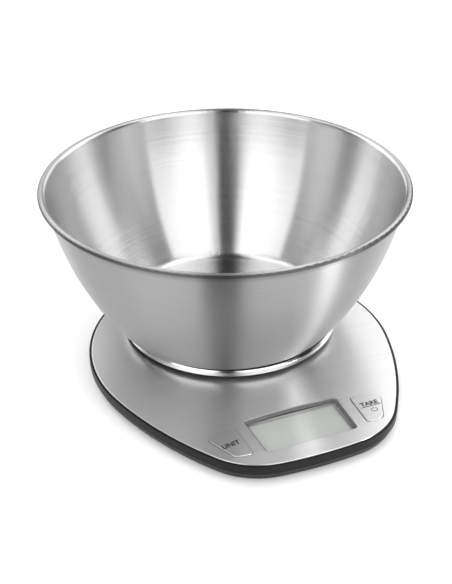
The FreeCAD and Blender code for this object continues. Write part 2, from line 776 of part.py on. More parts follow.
def make_bowl():
    """Spun stainless bowl: flat bottom, gently curved wall, turned-down rim."""
    body = place(new_body("bowl"), "bowl_aside", "bowl_back", BOWL_SEAT)
    sketch = body_sketch(body, "bowl_section", "XZ_Plane")
    thick = value("sheet_steel")
    radius = value("wall_radius")
    heel = V(value("bowl_heel"), value("heel_height"), 0)
    mouth = V(value("bowl_mouth"), value("bowl_height - sheet_steel"), 0)
    chord = mouth - heel
    middle = (mouth + heel) * 0.5
    inward = V(-chord.y, chord.x, 0).normalize()
    centre = middle + inward * math.sqrt(radius ** 2 - (chord.Length / 2) ** 2)

    def on_wall(size, height):
        return V(centre.x + math.sqrt(size ** 2 - (height - centre.y) ** 2), height, 0)

    def wall_arc(size, low, high):
        ends = [math.atan2(spot.y - centre.y, spot.x - centre.x) for spot in (low, high)]
        return Part.ArcOfCircle(Part.Circle(centre, UP, size), ends[0], ends[1])

    top = value("bowl_height")
    rim, hem = value("rim_radius"), value("hem_depth")
    inner_low = on_wall(radius - thick, thick + 1.2)
    inner_high = on_wall(radius - thick, top)
    flat = value("bowl_flat")
    corners = [V(0, 0, 0), V(flat, 0, 0), heel, mouth, V(rim - thick, mouth.y, 0),
               V(rim - thick, top - hem, 0), V(rim, top - hem, 0), V(rim, top, 0), inner_high,
               inner_low, V(flat - 0.5, thick, 0), V(0, thick, 0)]
    count = len(corners)
    curved = {2: (radius, heel, mouth), 8: (radius - thick, inner_low, inner_high)}
    for i in range(count):
        if i in curved:
            sketch.addGeometry(wall_arc(*curved[i]), False)
        else:
            sketch.addGeometry(Part.LineSegment(corners[i], corners[(i + 1) % count]), False)

    def start_of(i):
        return 2 if i == 8 else 1

    def end_of(i):
        return 1 if i == 8 else 2

    for i in range(count):
        after = (i + 1) % count
        sketch.addConstraint(Sketcher.Constraint("Coincident", i, end_of(i), after,
                                                 start_of(after)))
    places = {0: ("0", "0"), 1: ("bowl_flat", "0"), 2: ("bowl_heel", "heel_height"),
              3: ("bowl_mouth", "bowl_height - sheet_steel"),
              4: ("rim_radius - sheet_steel", "bowl_height - sheet_steel"),
              5: ("rim_radius - sheet_steel", "bowl_height - hem_depth"),
              6: ("rim_radius", "bowl_height - hem_depth"), 7: ("rim_radius", "bowl_height"),
              10: ("bowl_flat - 0.5", "sheet_steel"), 11: ("0", "sheet_steel")}
    for i, (x, y) in places.items():
        pin(sketch, "spot_%d" % i, x, y, i, start_of(i))
    dimension(sketch, "wall", "wall_radius", "Radius", 2)
    sketch.addConstraint(Sketcher.Constraint("Coincident", 2, 3, 8, 3))
    dimension(sketch, "wall_inside", "wall_radius - sheet_steel", "Radius", 8)
    dimension(sketch, "inside_top", "bowl_height", "DistanceY", -1, 1, 8, 2)
    dimension(sketch, "inside_low", "sheet_steel + 1.2", "DistanceY", -1, 1, 8, 1)
    turned = revolve(body, sketch)

    def ring_edge(shape, spot):
        for i, edge in enumerate(shape.Edges, start=1):
            box = edge.BoundBox
            level = abs(box.ZMin - spot.y) < 1e-3 and box.ZLength < 1e-3
            if level and abs(box.XMax - spot.x) < 1e-3:
                return "Edge%d" % i
        raise ValueError("no edge at %s" % spot)

    base = turned
    for bend, spot in (("heel_bend", heel), ("foot_bend", corners[1]),
                       ("heel_bend_inside", inner_low), ("rim_bend", corners[7]),
                       ("rim_bend_inside", inner_high), ("under_rim_bend", mouth)):
        rounded = body.newObject("PartDesign::Fillet", bend + "_round")
        rounded.Base = (base, [ring_edge(base.Shape, spot)])
        bind(rounded, "Radius", bend)
        doc.recompute()
        base = rounded
    node(body, "bowl")


# ---------------------------------------------------------------- battery

def make_battery():
    """Coin cell in a round holder, two spring contacts and a bayonet cap."""
    y = "battery_y"
    coin = cylinder("0", y, "coin_low", "coin_low + coin_thickness", "coin_radius")
    node(round_edges(coin, "0.4", lambda edge: edge.BoundBox.ZLength < 1e-4), "coin_cell")

    cup = cylinder("0", y, FLOOR_TOP, "holder_top", "holder_radius")
    pocket_top = "holder_top - 0.7"
    hollow = [cylinder("0", y, FLOOR_TOP + " - 1", "coin_low + 0.1", "tab_reach + 0.3"),
              cylinder("0", y, "coin_low", pocket_top, "coin_radius + 0.3"),
              block("coin_radius + 0.6", y, "coin_low", "holder_top + 1", "1.2", "5"),
              block("-coin_radius + 1", y, "coin_low + coin_thickness", "holder_top + 1",
                    "1.2", "5")]
    node(cut(cup, hollow), "battery_holder")

    side_strip = block("coin_radius + 0.2", y, "coin_low + 0.2", "holder_top + 0.6", "0.3", "4")
    node(side_strip, "battery_contact_positive")

    body = place(new_body("battery_contact_negative"), y="battery_y + 2")
    sketch = body_sketch(body, "spring_section", "XZ_Plane")
    leaf, top = "0.25", "(holder_top - 0.7)"
    tail = "(-coin_radius + 1)"
    draw_polygon(sketch, "leaf", [
        (tail, top + " - " + leaf), ("-3", top + " - " + leaf),
        ("1", "coin_low + coin_thickness"), ("4", top + " - " + leaf + " - 0.1"),
        ("4.2", top + " - 0.15"), ("1", "coin_low + coin_thickness + " + leaf),
        ("-2.9", top), (tail + " + 0.3", top), (tail + " + 0.3", "holder_top + 0.6"),
        (tail, "holder_top + 0.6")])
    pad = body.newObject("PartDesign::Pad", "leaf")
    pad.Profile = sketch
    pad.Length = 4
    node(body, "battery_contact_negative")

    disc = cylinder("0", y, "ground_clearance", FLOOR_TOP, "cap_radius")
    disc = round_edges(disc, "0.4", at_height("ground_clearance"))
    collar = cylinder("0", y, FLOOR_TOP, FLOOR_TOP + " + 0.95", "cap_radius - 0.4")
    tabs = [cylinder("0", y, FLOOR_TOP + " + 0.15", FLOOR_TOP + " + 0.95", "tab_reach",
                     "tab_angle", side + " - tab_angle / 2") for side in ("0", "180")]
    coin_slot = block("0", y, "ground_clearance - 1", "ground_clearance + 0.9", "15", "2")
    node(cut(join([disc, collar] + tabs), [coin_slot]), "battery_cap")


# ---------------------------------------------------------------- wires

def wire_path(spots):
    """Straight runs joined by tangent arcs that are as large as the runs allow."""
    edges = []
    start = spots[0]
    for before, corner, after in zip(spots, spots[1:], spots[2:]):
        arriving, leaving = (corner - before), (after - corner)
        shorter = min(arriving.Length, leaving.Length)
        turn = arriving.getAngle(leaving)
        arriving.normalize()
        leaving.normalize()
        trim = 0.45 * shorter
        radius = trim / math.tan(turn / 2)
        enter, leave = corner - arriving * trim, corner + leaving * trim
        inward = (leaving - arriving).normalize()
        centre = corner + inward * (radius / math.cos(turn / 2))
        middle = centre + (corner - centre).normalize() * radius
        edges.append(Part.LineSegment(start, enter).toShape())
        edges.append(Part.Arc(enter, middle, leave).toShape())
        start = leave
    edges.append(Part.LineSegment(start, spots[-1]).toShape())
    return Part.Wire(edges)


def wire_solid(spots):
    path = wire_path(spots)
    direction = spots[1] - spots[0]
    ring = Part.Wire(Part.makeCircle(value("wire_radius"), spots[0], direction))
    return path.makePipeShell([ring], True, False)


def make_wires(label, routes):
    thing = doc.addObject("Part::Feature", label)
    thing.Shape = Part.makeCompound([wire_solid(route) for route in routes])
    place(thing)
    node(thing, label)


def make_wiring():
    """Four gauge wires and two battery wires, laid inside the base to the circuit board."""
    level = value(BOARD_TOP) + value("wire_radius")
    edge = -value("board_far")
    gauge = []
    for i in range(4):
        x = 14 + 1.4 * i
        gauge.append([V(x, -value("cell_width") / 2 - 0.05, level), V(x, -26, level),
                      V(x + 12, -58, level), V(x + 12, edge - 2.5, level)])
    make_wires("signal_wires", gauge)
    high = value("holder_top") + 0.5
    y = value("battery_y")
    supply = []
    for i, start in enumerate((V(10.7, y - 1.2, high), V(-8.45, y - 1.2, high))):
        out = 51.6 - 1.6 * i
        supply.append([start, V(26, y - 14 - 1.6 * i, high), V(out, 6, high),
                       V(out, -34, high), V(out - 2, -76, high - 1.5),
                       V(out - 2, edge - 2.5, level)])
    make_wires("battery_wires", supply)


# ---------------------------------------------------------------- build and write

def make_all():
    pebble, window, tare, unit = make_outlines()
    make_bowl()
    make_platter()
    make_top_cover(pebble, window, (tare, unit))
    make_upper_frame(pebble, window, (tare, unit))
    make_bottom_shell(pebble)
    make_feet()
    make_case_screws()
    make_display(window)
    make_key("tare", tare, "")
    make_key("unit", unit, "-")
    make_board()
    make_load_cell()
    make_battery()
    make_wiring()


def check_and_write():
    doc.recompute()
    for thing in doc.Objects:
        if "Invalid" in thing.State or "Error" in thing.State:
            raise RuntimeError("%s failed: %s" % (thing.Name, thing.State))
    for thing in NODES:
        if thing.Shape.isNull() or not thing.Shape.isValid() or thing.Shape.Volume <= 0:
            raise RuntimeError("%s has no valid solid" % thing.Label)
    os.makedirs("parts", exist_ok=True)
    for thing in NODES:
        thing.Shape.exportStep("parts/%s.step" % thing.Label)
        box = thing.Shape.BoundBox
        print("%-26s %8.1f mm3  solids %d  z %.2f to %.2f" % (
            thing.Label, thing.Shape.Volume, len(thing.Shape.Solids), box.ZMin, box.ZMax))
    print(len(NODES), "pieces")


make_all()
check_and_write()
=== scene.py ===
import math

import bpy
from mathutils import Matrix, Vector


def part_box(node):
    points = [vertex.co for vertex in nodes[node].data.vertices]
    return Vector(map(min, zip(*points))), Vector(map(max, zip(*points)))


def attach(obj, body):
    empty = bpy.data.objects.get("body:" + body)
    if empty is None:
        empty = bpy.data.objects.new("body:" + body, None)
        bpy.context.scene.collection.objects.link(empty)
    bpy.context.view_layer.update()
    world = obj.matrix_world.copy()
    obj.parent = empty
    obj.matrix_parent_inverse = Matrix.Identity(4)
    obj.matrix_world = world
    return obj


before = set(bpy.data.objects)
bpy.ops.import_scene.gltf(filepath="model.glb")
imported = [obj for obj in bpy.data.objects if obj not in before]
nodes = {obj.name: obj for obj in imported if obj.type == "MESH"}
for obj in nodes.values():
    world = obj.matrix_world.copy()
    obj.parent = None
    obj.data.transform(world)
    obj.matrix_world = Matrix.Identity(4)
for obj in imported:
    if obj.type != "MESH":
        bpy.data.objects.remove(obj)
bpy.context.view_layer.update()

MM = 0.001


# ---------------------------------------------------------------- where things are

def middle(node):
    low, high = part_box(node)
    return (low + high) / 2


def top_of(node):
    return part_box(node)[1].z


# HEADING is how far the camera stands to the left of straight in front.
PLATTER = middle("platter_pad")
BOWL = middle("bowl")
HEADING = math.radians(22.4)


# ---------------------------------------------------------------- material building blocks

class Paint:
    """A node material with short calls for the nodes used here."""

    def __init__(self, name):
        self.material = bpy.data.materials.new(name)
        self.material.use_nodes = True
        self.tree = self.material.node_tree
        self.shader = self.tree.nodes["Principled BSDF"]

    def add(self, kind, **settings):
        node = self.tree.nodes.new(kind)
        for key, setting in settings.items():
            setattr(node, key, setting)
        return node

    def link(self, out, into):
        self.tree.links.new(out, into)

    def set(self, **sockets):
        for key, number in sockets.items():
            self.shader.inputs[key.replace("_", " ")].default_value = number
        return self

    def place(self):
        return self.add("ShaderNodeTexCoord").outputs["Object"]

    def maths(self, operation, *sources):
        node = self.add("ShaderNodeMath", operation=operation)
        for slot, source in enumerate(sources):
            if isinstance(source, (int, float)):
                node.inputs[slot].default_value = source
            else:
                self.link(source, node.inputs[slot])
        return node.outputs[0]

    def vector(self, operation, *sources):
        node = self.add("ShaderNodeVectorMath", operation=operation)
        for slot, source in enumerate(sources):
            if isinstance(source, (tuple, Vector)):
                node.inputs[slot].default_value = tuple(source)
            else:
                self.link(source, node.inputs[slot])
        return node.outputs["Value" if operation in ("LENGTH", "DOT_PRODUCT") else "Vector"]

    def noise(self, where, scale=1.0, detail=2.0):
        node = self.add("ShaderNodeTexNoise")
        node.inputs["Scale"].default_value = scale
        node.inputs["Detail"].default_value = detail
        self.link(where, node.inputs["Vector"])
        return node.outputs["Fac"]

    def stretch(self, value, low, high, low_in=0.3, high_in=0.7):
        node = self.add("ShaderNodeMapRange")
        for key, number in (("From Min", low_in), ("From Max", high_in), ("To Min", low),
                            ("To Max", high)):
            node.inputs[key].default_value = number
        self.link(value, node.inputs["Value"])
        return node.outputs["Result"]

    def colour(self, value, low, high):
        """Base colour that runs from one colour to the other with the value."""
        node = self.add("ShaderNodeMix", data_type="RGBA")
        node.inputs["A"].default_value = (*low, 1)
        node.inputs["B"].default_value = (*high, 1)
        self.link(value, node.inputs["Factor"])
        self.link(node.outputs["Result"], self.shader.inputs["Base Color"])

    def rough(self, value):
        self.link(value, self.shader.inputs["Roughness"])

    def bump(self, value, depth, strength=1.0):
        node = self.add("ShaderNodeBump")
        node.inputs["Strength"].default_value = strength
        node.inputs["Distance"].default_value = depth
        self.link(value, node.inputs["Height"])
        self.link(node.outputs["Normal"], self.shader.inputs["Normal"])


def brushed(name, tone, roughness):
    """Sheet steel brushed from side to side, with reflections drawn out across the lines."""
    paint = Paint(name).set(Metallic=1.0, Anisotropic=0.8)
    where = paint.place()
    sideways = Vector((1, 0, 0))
    fine = Vector((40, 3800, 3800))
    lines = paint.noise(paint.vector("MULTIPLY", where, fine), detail=3)
    broad = paint.noise(paint.vector("MULTIPLY", where, fine * 0.17), detail=2)
    both = paint.maths("ADD", lines, broad)
    level = paint.stretch(both, tone * 0.97, tone * 1.03, 0.7, 1.3)
    paint.link(level, paint.shader.inputs["Base Color"])
    paint.rough(paint.stretch(both, roughness - 0.02, roughness + 0.03, 0.7, 1.3))
    paint.bump(lines, 0.0000012, 0.5)
    normal = paint.add("ShaderNodeNewGeometry").outputs["Normal"]
    paint.link(paint.vector("CROSS_PRODUCT", normal, sideways), paint.shader.inputs["Tangent"])
    return paint.material


def spun(name, tone, roughness, centre, anisotropy, outside=(1.0, 0.0), rim=(1.0, 1.0),
         flat_bottom=0.0):
    """Spun steel: fine rings round an upright axis, with reflections drawn out along the wall.

    The faces that look away from the axis are less bright, a painted shade, and rougher, by the
    two numbers of outside. The bead beyond the first number of rim, a radius, is rougher, and
    the outer wall darkens towards the second, the bead's height, as a painted shadow under the
    bead.
    The flat bottom, up to its own radius, is polished.
    """
    rougher_bead, polished_bottom = 0.15, 0.19
    paint = Paint(name).set(Metallic=1.0, Anisotropic=anisotropy, Anisotropic_Rotation=0.25)
    out = paint.vector("SUBTRACT", paint.place(), Vector((centre.x, centre.y, 0)))
    flat = paint.vector("MULTIPLY", out, (1, 1, 0))
    radius = paint.vector("LENGTH", flat)
    split = paint.add("ShaderNodeSeparateXYZ")
    paint.link(out, split.inputs[0])
    travel = paint.maths("SUBTRACT", split.outputs["Z"], paint.maths("MULTIPLY", radius, 0.6))
    join = paint.add("ShaderNodeCombineXYZ")
    paint.link(paint.maths("MULTIPLY", split.outputs["X"], 5), join.inputs[0])
    paint.link(paint.maths("MULTIPLY", split.outputs["Y"], 5), join.inputs[1])
    paint.link(paint.maths("MULTIPLY", travel, 2600), join.inputs[2])
    rings = paint.noise(join.outputs[0], detail=3)
    facing = paint.vector("DOT_PRODUCT", paint.vector("NORMALIZE", flat),
                          paint.add("ShaderNodeNewGeometry").outputs["True Normal"])
    rim_radius, rim_height = rim
    darker, rougher = outside
    bead = paint.stretch(radius, 0, 1, rim_radius, rim_radius + 0.6 * MM)
    looks_out = paint.stretch(facing, 0, 1, 0.1, 0.5)
    # Painted shadow: the outer wall darkens over the 8 mm below the bead's height, where the
    # bead overhangs it.
    bead_shadow = paint.stretch(split.outputs["Z"], 1, 0.45, rim_height - 8 * MM,
                              rim_height - 2 * MM)
    # Painted shade: faces that look away from the axis take this darker colour, by the first
    # number of outside, with the painted shadow under the bead on top.
    shaded_outside = paint.maths("MULTIPLY", bead_shadow, tone * darker)
    level = paint.add("ShaderNodeMix")
    paint.link(looks_out, level.inputs["Factor"])
    level.inputs["A"].default_value = tone
    paint.link(shaded_outside, level.inputs["B"])
    shade = paint.maths("MULTIPLY", level.outputs[0], paint.stretch(rings, 0.95, 1.04))
    paint.link(shade, paint.shader.inputs["Base Color"])
    satin = paint.maths("MULTIPLY_ADD", looks_out, rougher,
                        paint.stretch(rings, roughness - 0.015, roughness + 0.02))
    bottom = paint.stretch(radius, polished_bottom, 0, flat_bottom, flat_bottom + 6 * MM)
    polish = paint.maths("MULTIPLY_ADD", bead, -rougher_bead, bottom)
    paint.rough(paint.maths("SUBTRACT", satin, polish))
    paint.bump(rings, 0.0000006, 0.5)
    around = paint.vector("CROSS_PRODUCT", (0, 0, 1), flat)
    paint.link(paint.vector("NORMALIZE", around), paint.shader.inputs["Tangent"])
    return paint.material


def moulded(name, colour, roughness, texture=0.00002, size=1500, gloss=0.5):
    """Moulded plastic or rubber with a fine even texture."""
    paint = Paint(name).set(Specular_IOR_Level=gloss)
    pits = paint.noise(paint.place(), scale=size, detail=2)
    drift = paint.noise(paint.place(), scale=40, detail=3)
    paint.colour(drift, colour, [min(1, c * 1.25) for c in colour])
    paint.rough(paint.stretch(drift, roughness - 0.05, roughness + 0.05))
    paint.bump(pits, texture, 0.5)
    return paint.material


def frame_plastic(name):
    """Black moulded plastic, grey on the wall round the display window."""
    paint = Paint(name).set(Roughness=0.4, Specular_IOR_Level=0.2)
    low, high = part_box("display_lens")
    centre, half = (low + high) / 2, (high - low) / 2
    split = paint.add("ShaderNodeSeparateXYZ")
    paint.link(paint.vector("ABSOLUTE", paint.vector("SUBTRACT", paint.place(), centre)),
               split.inputs[0])
    inside_x = paint.maths("LESS_THAN", split.outputs["X"], half.x + 0.5 * MM)
    inside_y = paint.maths("LESS_THAN", split.outputs["Y"], half.y + 0.5 * MM)
    window = paint.maths("MULTIPLY", inside_x, inside_y)
    drift = paint.noise(paint.place(), scale=40, detail=3)
    tone = paint.maths("MULTIPLY_ADD", window, 0.16, paint.stretch(drift, 0.007, 0.010))
    paint.link(tone, paint.shader.inputs["Base Color"])
    paint.bump(paint.noise(paint.place(), scale=1500), 0.00002, 0.5)
    return paint.material


def cast_metal(name, tone, roughness, colour=(1, 1, 1)):
    """Plain machined or plated metal with slight unevenness."""
    paint = Paint(name).set(Metallic=1.0)
    uneven = paint.noise(paint.place(), scale=900, detail=4)
    low = [tone * c * 0.9 for c in colour]
    high = [min(1, tone * c * 1.06) for c in colour]
    paint.colour(uneven, low, high)
    paint.rough(paint.stretch(uneven, roughness - 0.06, roughness + 0.08))
    paint.bump(uneven, 0.00001, 0.3)
    return paint.material


def clear_window(name):
    """Clear plastic: see-through, with a mirror-like part that grows at a shallow angle."""
    paint = Paint(name).set(Metallic=1.0, Roughness=0.05)
    paint.shader.inputs["Base Color"].default_value = (1, 1, 1, 1)
    fresnel = paint.add("ShaderNodeFresnel")
    fresnel.inputs["IOR"].default_value = 1.5
    haze = paint.noise(paint.place(), scale=25, detail=3)
    outer = paint.maths("SUBTRACT", 1.0,
                        paint.add("ShaderNodeNewGeometry").outputs["Backfacing"])
    mirror = paint.maths("MULTIPLY", paint.maths("MULTIPLY", fresnel.outputs[0], outer), 1.9)
    shown = paint.maths("ADD", mirror, paint.stretch(haze, 0.01, 0.03))
    paint.link(shown, paint.shader.inputs["Alpha"])
    return paint.material


def display_face(name):
    """Reflective display behind its polariser: pale grey-green with a darker border."""
    paint = Paint(name).set(Roughness=0.22)
    low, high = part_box("lcd_panel")
    centre, half = (low + high) / 2, (high - low) / 2
    split = paint.add("ShaderNodeSeparateXYZ")
    paint.link(paint.vector("ABSOLUTE", paint.vector("SUBTRACT", paint.place(), centre)),
               split.inputs[0])
    inset = 1.6 * MM
    past_x = paint.maths("GREATER_THAN", split.outputs["X"], half.x - inset)
    past_y = paint.maths("GREATER_THAN", split.outputs["Y"], half.y - inset)
    border = paint.maths("MAXIMUM", past_x, past_y)
    paint.colour(border, (0.62, 0.64, 0.62), (0.42, 0.43, 0.42))
    return paint.material


def circuit_board(name):
    """Green solder mask with the copper tracks just showing through."""
    paint = Paint(name).set(Roughness=0.3)
    cells = paint.add("ShaderNodeTexBrick")
    cells.inputs["Scale"].default_value = 260
    cells.inputs["Color1"].default_value = (0.010, 0.11, 0.045, 1)
    cells.inputs["Color2"].default_value = (0.016, 0.16, 0.060, 1)
    cells.inputs["Mortar"].default_value = (0.030, 0.23, 0.090, 1)
    paint.link(paint.place(), cells.inputs["Vector"])
    paint.link(cells.outputs["Color"], paint.shader.inputs["Base Color"])
    paint.bump(cells.outputs["Fac"], 0.00003, 0.5)
    return paint.material


def striped_wires(name, colours, pitch):
    """Wire insulation whose colour changes from one wire of the ribbon to the next."""
    paint = Paint(name).set(Roughness=0.4)
    split = paint.add("ShaderNodeSeparateXYZ")
    paint.link(paint.place(), split.inputs[0])
    ramp = paint.add("ShaderNodeValToRGB")
    ramp.color_ramp.interpolation = "CONSTANT"
    for i, colour in enumerate(colours):
        spot = i / len(colours)
        stop = ramp.color_ramp.elements[i] if i < 2 else ramp.color_ramp.elements.new(spot)
        stop.position = spot
        stop.color = (*colour, 1)
    across = paint.maths("DIVIDE", split.outputs["X"], pitch * len(colours))
    paint.link(paint.maths("FRACT", across), ramp.inputs[0])
    paint.link(ramp.outputs[0], paint.shader.inputs["Base Color"])
    return paint.material


# ---------------------------------------------------------------- the pieces' finishes

def dress(material, *names):
    for name in names:
        nodes[name].data.materials.clear()
        nodes[name].data.materials.append(material)


def dress_all():
    rim = (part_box("bowl")[1].x - BOWL.x - 3.6 * MM, top_of("bowl"))
    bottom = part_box("platter_pad")[1].x - PLATTER.x - 3 * MM
    # The bowl's outside carries painted shade at 0.53 of the inside's brightness, and a painted
    # shadow under the bead.
    dress(spun("bowl_steel", 0.72, 0.25, BOWL, 0.97, (0.53, 0.15), rim, bottom), "bowl")
    dress(spun("polished_ring", 0.7, 0.14, PLATTER, 0.2), "platter_trim_ring")
    dress(brushed("cover_steel", 0.9, 0.33), "top_cover")
    dress(brushed("key_steel", 0.86, 0.33), "tare_key_cap", "unit_key_cap")
    dress(frame_plastic("frame_plastic"), "upper_frame")
    dress(moulded("shell_plastic", (0.014, 0.014, 0.015), 0.42, gloss=0.25), "bottom_shell",
          "battery_cap")
    dress(moulded("disc_plastic", (0.012, 0.012, 0.013), 0.5), "platter_disc")
    dress(moulded("pad_rubber", (0.015, 0.015, 0.015), 0.75, 0.00005, 900), "platter_pad")
    dress(moulded("foot_rubber", (0.03, 0.03, 0.03), 0.8, 0.00004, 1100), "rubber_feet")
    dress(clear_window("window_plastic"), "display_lens")
    dress(display_face("display_face"), "lcd_panel")
    dress(moulded("holder_plastic", (0.75, 0.75, 0.73), 0.5), "lcd_holder")
    dress(moulded("strip_rubber", (0.55, 0.36, 0.36), 0.7), "zebra_strips")
    dress(moulded("carrier_plastic", (0.06, 0.06, 0.065), 0.45), "tare_key_carrier",
          "unit_key_carrier", "battery_holder")
    dress(moulded("switch_plastic", (0.05, 0.05, 0.055), 0.4), "tare_switch", "unit_switch")
    dress(moulded("plunger_plastic", (0.6, 0.12, 0.08), 0.4), "tare_switch_plunger",
          "unit_switch_plunger")
    dress(circuit_board("solder_mask"), "main_board")
    dress(moulded("chip_epoxy", (0.01, 0.01, 0.01), 0.35, 0.00001), "controller_chip",
          "board_components")
    dress(cast_metal("load_cell_metal", 0.78, 0.32), "load_cell", "platter_hub")
    dress(cast_metal("plated_steel", 0.62, 0.28, (1, 0.99, 0.95)), "case_screws", "board_screws",
          "load_cell_screws", "platter_screws", "platter_disc_screws", "cell_spacer_fixed",
          "cell_spacer_free")
    dress(moulded("gauge_resin", (0.80, 0.78, 0.70), 0.35), "strain_gauges")
    dress(cast_metal("coin_cell_steel", 0.80, 0.22), "coin_cell")
    dress(cast_metal("contact_metal", 0.8, 0.25, (1, 0.86, 0.52)), "battery_contact_positive",
          "battery_contact_negative")
    dress(striped_wires("signal_wire_jackets", ((0.5, 0.02, 0.02), (0.02, 0.02, 0.02),
                                                (0.75, 0.75, 0.72), (0.03, 0.22, 0.06)),
                        1.4 * MM), "signal_wires")
    dress(striped_wires("battery_wire_jackets", ((0.5, 0.02, 0.02), (0.02, 0.02, 0.02)),
                        1.6 * MM), "battery_wires")


# ---------------------------------------------------------------- key labels

LABEL_RISE = 0.03 * MM


def label_on(key, name, text, height, ink, shift, turn=0.0):
    """Printed word lying on a key cap."""
    centre = middle(key)
    letters = bpy.data.curves.new(name, "FONT")
    letters.body = text
    letters.size = height / 0.73
    letters.align_x = "CENTER"
    letters.align_y = "CENTER"
    letters.extrude = LABEL_RISE / 2
    letters.offset = 0.16 * MM
    letters.resolution_u = 4
    letters.materials.append(ink)
    word = bpy.data.objects.new(name, letters)
    bpy.context.scene.collection.objects.link(word)
    word.location = (centre.x + shift[0], centre.y + shift[1], top_of(key) + LABEL_RISE / 2)
    word.rotation_euler.z = turn
    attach(word, key.replace("_cap", ""))


def flat_piece(name, body, outlines, level, ink):
    """Thin printed shape from closed outlines of x, y points."""
    verts, faces = [], []
    for outline in outlines:
        first, count = len(verts), len(outline)
        verts += [(x, y, level) for x, y in outline]
        verts += [(x, y, level + LABEL_RISE) for x, y in outline]
        faces.append([first + count + i for i in range(count)])
        faces.append([first + count - 1 - i for i in range(count)])
        for i in range(count):
            after = (i + 1) % count
            faces.append([first + i, first + after, first + count + after, first + count + i])
    mesh = bpy.data.meshes.new(name)
    mesh.from_pydata(verts, [], faces)
    mesh.materials.append(ink)
    piece = bpy.data.objects.new(name, mesh)
    bpy.context.scene.collection.objects.link(piece)
    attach(piece, body)


def bar(x, y, length, width):
    corners = ((-length, -width), (length, -width), (length, width), (-length, width))
    return [(x + a / 2, y + b / 2) for a, b in corners]


def power_symbol(name, body, x, y, radius, level, ink):
    """Open ring with a short upright stroke in its gap."""
    steps, width, gap = 28, 0.26 * radius, math.radians(38)
    parts = []
    for i in range(steps):
        ends = [math.pi / 2 + gap + (2 * math.pi - 2 * gap) * k / steps for k in (i, i + 1)]
        inner = [(x + radius * math.cos(a), y + radius * math.sin(a)) for a in ends]
        reach = radius + width
        outer = [(x + reach * math.cos(a), y + reach * math.sin(a)) for a in reversed(ends)]
        parts.append((inner + outer)[::-1])
    parts.append(bar(x, y + radius * 0.85, width, radius * 1.1))
    flat_piece(name, body, parts, level, ink)


def make_labels():
    ink = moulded("printed_ink", (0.008, 0.008, 0.009), 0.5, 0.000005)
    word = 3.5 * MM
    label_on("unit_key_cap", "unit_label", "UNIT", word, ink, (0.5 * MM, -0.5 * MM),
             math.radians(8))
    label_on("tare_key_cap", "tare_label", "TARE", word, ink, (-0.2 * MM, 3.2 * MM))
    centre, level = middle("tare_key_cap"), top_of("tare_key_cap")
    flat_piece("tare_underline", "tare_key",
               [bar(centre.x - 0.2 * MM, centre.y + 0.8 * MM, 13 * MM, 0.5 * MM)], level, ink)
    power_symbol("power_symbol", "tare_key", centre.x, centre.y - 2.9 * MM, 1.6 * MM, level, ink)


# ---------------------------------------------------------------- studio

def make_floor():
    """Pale floor that glows more far out, where the lights do not reach."""
    reach, glow_near, glow_far = 6.0, 0.16, 0.58
    mesh = bpy.data.meshes.new("floor")
    mesh.from_pydata([(-reach, -reach, 0), (reach, -reach, 0), (reach, reach, 0),
                      (-reach, reach, 0)], [], [(0, 1, 2, 3)])
    paint = Paint("floor_white").set(Roughness=0.9)
    paint.shader.inputs["Base Color"].default_value = (0.93, 0.93, 0.93, 1)
    paint.shader.inputs["Emission Color"].default_value = (1, 1, 1, 1)
    distance = paint.vector("LENGTH", paint.place())
    paint.link(paint.stretch(distance, glow_near, glow_far, 0.5, 2.0),
               paint.shader.inputs["Emission Strength"])
    mesh.materials.append(paint.material)
    floor = bpy.data.objects.new("floor", mesh)
    bpy.context.scene.collection.objects.link(floor)


def make_backdrop():
    """Pale wall all round, which lights nothing."""
    sides, reach, height = 48, 5.9, 6.0
    verts, faces = [], []
    for i in range(sides):
        angle = 2 * math.pi * i / sides
        x, y = reach * math.cos(angle), reach * math.sin(angle)
        verts += [(x, y, 0), (x, y, height)]
        after = 2 * ((i + 1) % sides)
        faces.append([2 * i, after, after + 1, 2 * i + 1])
    mesh = bpy.data.meshes.new("backdrop")
    mesh.from_pydata(verts, [], faces)
    paint = Paint("backdrop_white").set(Roughness=0.9, Emission_Strength=0.9)
    paint.shader.inputs["Base Color"].default_value = (0, 0, 0, 1)
    paint.shader.inputs["Emission Color"].default_value = (1, 1, 1, 1)
    mesh.materials.append(paint.material)
    wall = bpy.data.objects.new("backdrop", mesh)
    bpy.context.scene.collection.objects.link(wall)
    wall.visible_diffuse = False
    wall.visible_glossy = False
    wall.visible_transmission = False
    wall.visible_shadow = False


def area_light(name, spot, aim, size, power, height=None):
    lamp = bpy.data.lights.new(name, "AREA")
    lamp.shape = "RECTANGLE"
    lamp.size = size
    lamp.size_y = height or size
    lamp.energy = power
    light = bpy.data.objects.new(name, lamp)
    bpy.context.scene.collection.objects.link(light)
    light.location = spot
    light.visible_camera = False
    light.rotation_euler = (Vector(aim) - Vector(spot)).to_track_quat("-Z", "Y").to_euler()


def round_the_bowl(azimuth, elevation, reach):
    """A spot seen from the bowl; azimuth from the camera's side, positive to its right."""
    turn, rise = math.radians(azimuth), math.radians(elevation)
    front = Vector((-math.sin(HEADING), -math.cos(HEADING), 0))
    right = Vector((math.cos(HEADING), -math.sin(HEADING), 0))
    level = front * math.cos(turn) + right * math.sin(turn)
    direction = level * math.cos(rise) + Vector((0, 0, math.sin(rise)))
    return Vector((BOWL.x, BOWL.y, 0)) + direction * reach


def softbox(name, azimuths, elevations, reach, radiance):
    """Soft light that fills a range of directions round the bowl."""
    low, high = (math.radians(e) for e in elevations)
    width = 2 * reach * math.tan(math.radians(abs(azimuths[1] - azimuths[0])) / 2)
    height = 2 * reach * math.tan((high - low) / 2)
    spot = round_the_bowl(sum(azimuths) / 2, sum(elevations) / 2, reach)
    aim = (BOWL.x, BOWL.y, 0)
    area_light(name, spot, aim, width, radiance * math.pi * width * height, height)


